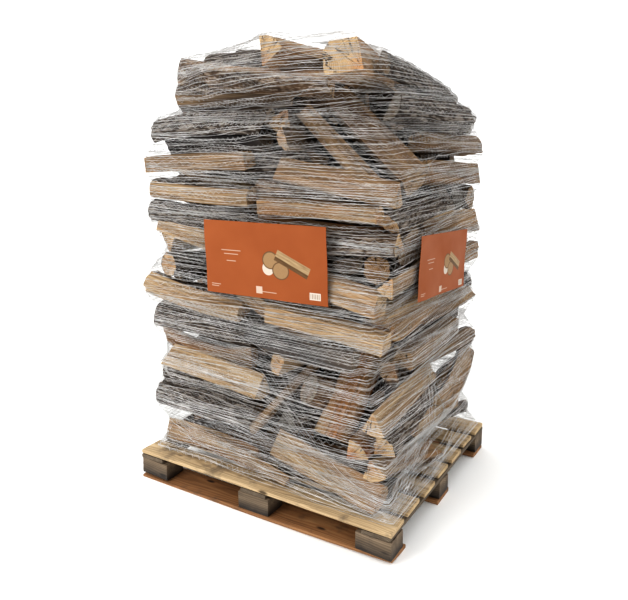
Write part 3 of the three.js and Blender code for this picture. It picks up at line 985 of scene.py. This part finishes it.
def netting(levels, surface):
    """The net's threads. Knitted strands run nearly level round the stack, two uneven threads
    to a strand that cross each other. Single threads wander over them at a slant, and fine
    ones zigzag from strand to strand."""
    rng = np.random.default_rng(7)
    finish = thread_finish()
    bearing = np.arange(720) / 720 * TAU
    foot, top = DECK_TOP + 0.018, levels[-1] - 0.012

    def spread(count):
        return foot + (top - foot) * (np.arange(count) + rng.normal(0.5, 0.2, count)) / count

    def wound(name, z, proud, thickness, uneven, stops):
        z = np.clip(z, levels[0], levels[-1])
        paths = fewer(on_surface(levels, surface, bearing[: z.shape[1]], z, proud), stops)
        radii = thickness[:, None] * (1 + uneven * rng.uniform(-1, 1, paths.shape[:2]))
        paths[..., 2] += rng.normal(0, 0.0006, paths.shape[:2])
        points, quads = tubes(paths, radii)
        add_net_piece(name, points, quads, finish)

    strands = spread(168)
    middle = thread_heights(rng, strands, bearing, 0.0016)
    for number in range(2):
        drift = np.zeros_like(middle)
        for turns in (5, 9, 14, 23):
            phase = rng.uniform(0, TAU, len(strands))[:, None]
            drift += rng.normal(0, 0.0009, len(strands))[:, None] * np.sin(turns * bearing + phase)
        thickness = rng.uniform(0.00036, 0.00072, len(strands))
        wound(f"net_strands_{number + 1}", middle + drift, 0.0010 + 0.0012 * number, thickness, 0.65, 160)
    singles = spread(110)
    z = thread_heights(rng, singles, bearing, 0.008)
    wound("net_singles", z, 0.0026, rng.uniform(0.0003, 0.0006, len(singles)), 0.5, 120)
    skirt = foot + 0.55 * (np.arange(34) + rng.random(34)) / 34
    corner = np.exp(-((bearing - 1.79 * math.pi) / 0.55) ** 2)
    z = thread_heights(rng, skirt, bearing, 0.006)
    z = z - (z - DECK_TOP - 0.012) * 0.86 * corner
    wound("net_skirt", z, 0.0030, rng.uniform(0.0004, 0.0008, len(skirt)), 0.5, 150)
    for number in range(2):
        rows = spread(78)
        z = thread_heights(rng, rows, bearing, 0.004)[:, ::3]
        reach = rng.uniform(0.004, 0.009, len(rows))[:, None]
        z = z + np.where(np.arange(z.shape[1]) % 2, reach, -reach)
        z = np.clip(z, levels[0], levels[-1])
        paths = on_surface(levels, surface, bearing[::3], z, 0.0008)
        points, quads = tubes(paths, rng.uniform(0.0003, 0.0005, z.shape))
        add_net_piece(f"net_zigzags_{number + 1}", points, quads, finish)


def on_surface(levels, surface, bearing, z, proud):
    """Points on the stretched net at each bearing and height, a little proud of it."""
    out = on_net(levels, surface, np.broadcast_to(bearing, z.shape), z) + proud
    return np.stack([out * np.cos(bearing), out * np.sin(bearing), z], -1)


def add_net_piece(name, points, quads, finish):
    piece = new_piece(name, points, quads, np.empty((0, 3), int), [finish], stands_for=["net"])
    return piece


# ---- Pallet ------------------------------------------------------------------------------------


def sawn_board(name, finish, seed):
    """A sawn board or block that fills its CAD box, with its grain along its longest side."""
    rng = np.random.default_rng(seed)
    low, high = (np.array(corner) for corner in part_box(name))
    size = high - low
    long_axis = int(size.argmax()) if not name.startswith("block") else 0
    wide_axis, high_axis = [axis for axis in (0, 1, 2) if axis != long_axis]
    width, height = size[wide_axis], size[high_axis]
    ease = 0.0016
    corners = np.array([
        (-0.5, -0.5, ease, 0), (0.5, -0.5, -ease, 0), (0.5, -0.5, 0, ease), (0.5, 0.5, 0, -ease),
        (0.5, 0.5, -ease, 0), (-0.5, 0.5, ease, 0), (-0.5, 0.5, 0, -ease), (-0.5, -0.5, 0, ease),
    ])
    outline = corners[:, :2] * (width - 0.002, height - 0.002) + corners[:, 2:]
    dense, _ = even(outline, np.zeros(8, bool), 48)
    pith = np.array((rng.uniform(-0.03, 0.03), -rng.uniform(0.03, 0.08)))
    mood = np.array((rng.random(), 0.3, 0.2))
    rings = max(int(size[long_axis] / 0.03), 5)
    part = timber(dense - pith, np.zeros(48), size[long_axis] - 0.002, rings, rng, mood,
                  rough=0.0005, bow=0.0, skew=0.0)
    points = part[0] + np.array((*pith, 0))
    placed_points = np.empty_like(points)
    placed_points[:, wide_axis] = points[:, 0]
    placed_points[:, high_axis] = points[:, 1]
    placed_points[:, long_axis] = points[:, 2]
    placed_points = np.clip(placed_points + (low + high) / 2, low, high)
    quads, triangles = part[1], part[2]
    if np.linalg.det(np.eye(3)[[wide_axis, high_axis, long_axis]]) < 0:
        quads, triangles = quads[:, ::-1], triangles[:, ::-1]
    return new_piece(name, placed_points, quads, triangles, [finish], None, part[4], [name])


def pallet():
    """The pallet's boards and blocks, each with the look of its own kind."""
    deck = sawn_wood("deck_wood", (0.20, 0.135, 0.075), (0.50, 0.37, 0.22), (0.76, 0.61, 0.40))
    bearer = sawn_wood("bearer_wood", (0.05, 0.04, 0.03), (0.13, 0.10, 0.07), (0.26, 0.21, 0.155))
    block = sawn_wood("block_wood", (0.055, 0.041, 0.029), (0.175, 0.130, 0.088), (0.35, 0.27, 0.185), 1.15)
    skid = sawn_wood("skid_wood", (0.13, 0.06, 0.026), (0.46, 0.23, 0.095), (0.70, 0.43, 0.21), 0.4)
    kinds = {"deck": deck, "bearer": bearer, "block": block, "skid": skid}
    names = [name for name in sorted(NODES) if name.split("_")[0] in kinds]
    for seed, name in enumerate(names):
        piece = sawn_board(name, kinds[name.split("_")[0]], 300 + seed)


# ---- Cards --------------------------------------------------------------------------------------


def card_finish():
    """Orange print with a drawing of three logs, and plain bars where words would be. The mesh's
    print is a place on the card in metres from its middle, along x and up y."""
    f = Finish("card_print", roughness=0.5)
    f.feed(f.shader.inputs["Specular IOR Level"], 0.15)
    x, y, _ = f.parts(f.field("print"))
    cloud = f.noise(f.field("print"), 7, 2)
    paper = f.ramp(cloud + x * 0.5, [(0.25, (0.300, 0.094, 0.031)), (0.75, (0.265, 0.079, 0.025))])

    def bar(left, right, bottom, top):
        return x.inside(left, right) * y.inside(bottom, top)

    pale = opaque(0.60, 0.52, 0.44)
    for left, right, level in ((-0.195, -0.105, 0.028), (-0.183, -0.117, 0.014), (-0.172, -0.128, -0.012),
                               (-0.250, -0.205, -0.108), (-0.250, -0.214, -0.116), (-0.010, 0.055, -0.118)):
        paper = f.mix(bar(left, right, level, level + 0.003) * 0.5, paper, pale)
    paper = f.mix(bar(-0.038, -0.010, -0.125, -0.098) * 0.7, paper, pale)
    paper = f.mix(bar(0.200, 0.246, -0.124, -0.098), paper, opaque(0.56, 0.50, 0.43))
    strokes = (x * 900).math("SINE").between(0.0, 0.2) * bar(0.204, 0.242, -0.120, -0.102)
    paper = f.mix(strokes * 0.8, paper, opaque(0.20, 0.12, 0.08))

    def log_on_card(middle, turn, length, width, seed):
        """A drawn log: a bar with a pale upper face, and a darker lower one."""
        along = (x - middle[0]) * math.cos(turn) + (y - middle[1]) * math.sin(turn)
        over = (y - middle[1]) * math.cos(turn) - (x - middle[0]) * math.sin(turn)
        long_grain = f.node("CombineXYZ", inputs={0: along * 14, 1: over * 150, 2: seed}).out()
        streaks = f.noise(long_grain, 1, 3)
        face = f.ramp(streaks, [(0.3, (0.23, 0.15, 0.08)), (0.7, (0.42, 0.31, 0.18))])
        under = f.ramp(streaks, [(0.3, (0.08, 0.045, 0.02)), (0.7, (0.17, 0.10, 0.05))])
        body = along.inside(-length / 2, length / 2) * over.inside(-width / 2, width / 2)
        return body, f.mix(over.between(-width * 0.16, -width * 0.10), under, face)

    def disc(centre, size):
        reach = ((x - centre[0]) * (x - centre[0]) + (y - centre[1]) * (y - centre[1])).math("SQRT")
        return 1 - reach.between(size, size + 0.001)

    def cut_on_card(centre, size, wide):
        """A drawn sawn end: rings inside a dark rim."""
        across = (x - centre[0]) / wide
        reach = (across * across + (y - centre[1]) * (y - centre[1])).math("SQRT")
        rings = (reach * 1700 + cloud * 20).math("SINE") * 0.5 + 0.5
        cut = f.ramp(rings, [(0.0, (0.23, 0.14, 0.07)), (1.0, (0.36, 0.24, 0.13))])
        cut = f.mix(reach.between(size * 0.86, size * 0.92), cut, opaque(0.14, 0.08, 0.04))
        return 1 - reach.between(size, size + 0.001), cut

    for mask, ink in (
        (disc((0.022, -0.026), 0.025), opaque(0.52, 0.46, 0.39)),
        cut_on_card((0.034, 0.006), 0.033, 1.1),
        cut_on_card((0.078, -0.030), 0.033, 1.1),
        log_on_card((0.128, -0.002), math.radians(-24), 0.150, 0.042, 3),
    ):
        paper = f.mix(mask, paper, ink)
    f.colour(paper)
    f.roughness(0.42 + cloud * 0.2)
    return f.material


def card(name, finish, across, tilt, size):
    """A thin card that fills its CAD node's place: a grid whose outward side swells and dips
    by a millimetre, closed at its back and edges. tilt is how far it hangs askew, in degrees."""
    low, high = (np.array(corner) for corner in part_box(name))
    middle = (low + high) / 2
    columns, rows = 56, 30
    u, v = np.meshgrid(np.linspace(-0.5, 0.5, columns), np.linspace(-0.5, 0.5, rows))
    flat = np.stack([u.ravel() * size[0], v.ravel() * size[1]], -1)
    ripples = np.sin(flat[:, 0] * 23 + flat[:, 1] * 9) + np.sin(flat[:, 1] * 31 - flat[:, 0] * 13 + 2)
    swell = 0.0012 * ripples
    along = np.array(across)
    out = np.cross(along, (0, 0, 1.0))
    turn = math.radians(tilt)
    side = math.cos(turn) * along + math.sin(turn) * np.array((0, 0, 1.0))
    up = np.cross(out, side)
    face = middle + flat[:, :1] * side + flat[:, 1:] * up + (swell + 0.0006)[:, None] * out
    back = face - 0.0012 * out
    index = np.arange(rows * columns).reshape(rows, columns)
    quads = np.stack([index[:-1, :-1], index[:-1, 1:], index[1:, 1:], index[1:, :-1]], -1).reshape(-1, 4)
    rim = np.concatenate([index[0, :-1], index[:-1, -1], index[-1, :0:-1], index[:0:-1, 0]])
    behind = rim + rows * columns
    edge = np.stack([rim, behind, np.roll(behind, -1), np.roll(rim, -1)], -1)
    quads = np.concatenate([quads, quads[:, ::-1] + rows * columns, edge])
    place = np.concatenate([flat * (0.55 / size[0]), np.zeros((len(flat), 1))], 1)
    fields = {"print": np.concatenate([place, place])}
    points = np.concatenate([face, back])
    piece = new_piece(name, points, quads, np.empty((0, 3), int), [finish], None, fields, [name])


# ---- Stage, camera and lights ---------------------------------------------------------------------


def stage():
    """A plain pale floor."""
    f = Finish("floor", roughness=0.9)
    f.colour(opaque(0.93, 0.93, 0.92))
    mesh = bpy.data.meshes.new("floor")
    mesh.from_pydata([(-30, -30, 0), (30, -30, 0), (30, 30, 0), (-30, 30, 0)], [], [(0, 1, 2, 3)])
    mesh.materials.append(f.material)
    floor = bpy.data.objects.new("floor", mesh)
    bpy.context.scene.collection.objects.link(floor)


def camera():
    """The eye stands off the right front corner, a little above the cards."""
    lens = bpy.data.cameras.new("camera")
    lens.sensor_width = 36.0
    lens.lens = 38.17
    lens.shift_x = -0.0334
    lens.shift_y = -0.0955
    eye = bpy.data.objects.new("camera", lens)
    eye.location = EYE
    eye.rotation_euler = (math.radians(90 - 10.26), 0, math.radians(30.25))
    bpy.context.scene.collection.objects.link(eye)
    bpy.context.scene.camera = eye


def lamp(name, place, target, size, power):
    """A soft square light that points from a place to a target."""
    light = bpy.data.lights.new(name, "AREA")
    light.size = size
    light.energy = power
    holder = bpy.data.objects.new(name, light)
    away = np.array(place) - np.array(target)
    holder.location = place
    level = math.hypot(away[0], away[1])
    holder.rotation_euler = (math.atan2(level, away[2]), 0, math.atan2(away[0], -away[1]))
    bpy.context.scene.collection.objects.link(holder)


def lights():
    """A white room, with a broad light before the front side."""
    world = bpy.data.worlds.new("room")
    world.use_nodes = True
    world.node_tree.nodes["Background"].inputs[0].default_value = opaque(1, 1, 1)
    world.node_tree.nodes["Background"].inputs[1].default_value = 1.0
    bpy.context.scene.world = world
    lamp("front_light", (-1.6, -4.2, 3.2), (0, 0, 0.9), 2.2, 85)
    bpy.context.scene.view_settings.view_transform = "Standard"
    bpy.context.scene.view_settings.look = "High Contrast"


def main():
    camera()
    side, end = log_side(), log_end()
    set_ends, set_radii, skins = named_logs(side, end)
    skins += loose_logs(side, end, set_ends, set_radii)
    levels, surface = net_surface(skins)
    netting(levels, surface)
    pallet()
    finish = card_finish()
    card("card_front", finish, (1, 0, 0), 1.4, (0.55, 0.284))
    card("card_right", finish, (0, 1, 0), -5, (0.49, 0.24))
    stage()
    lights()


main()
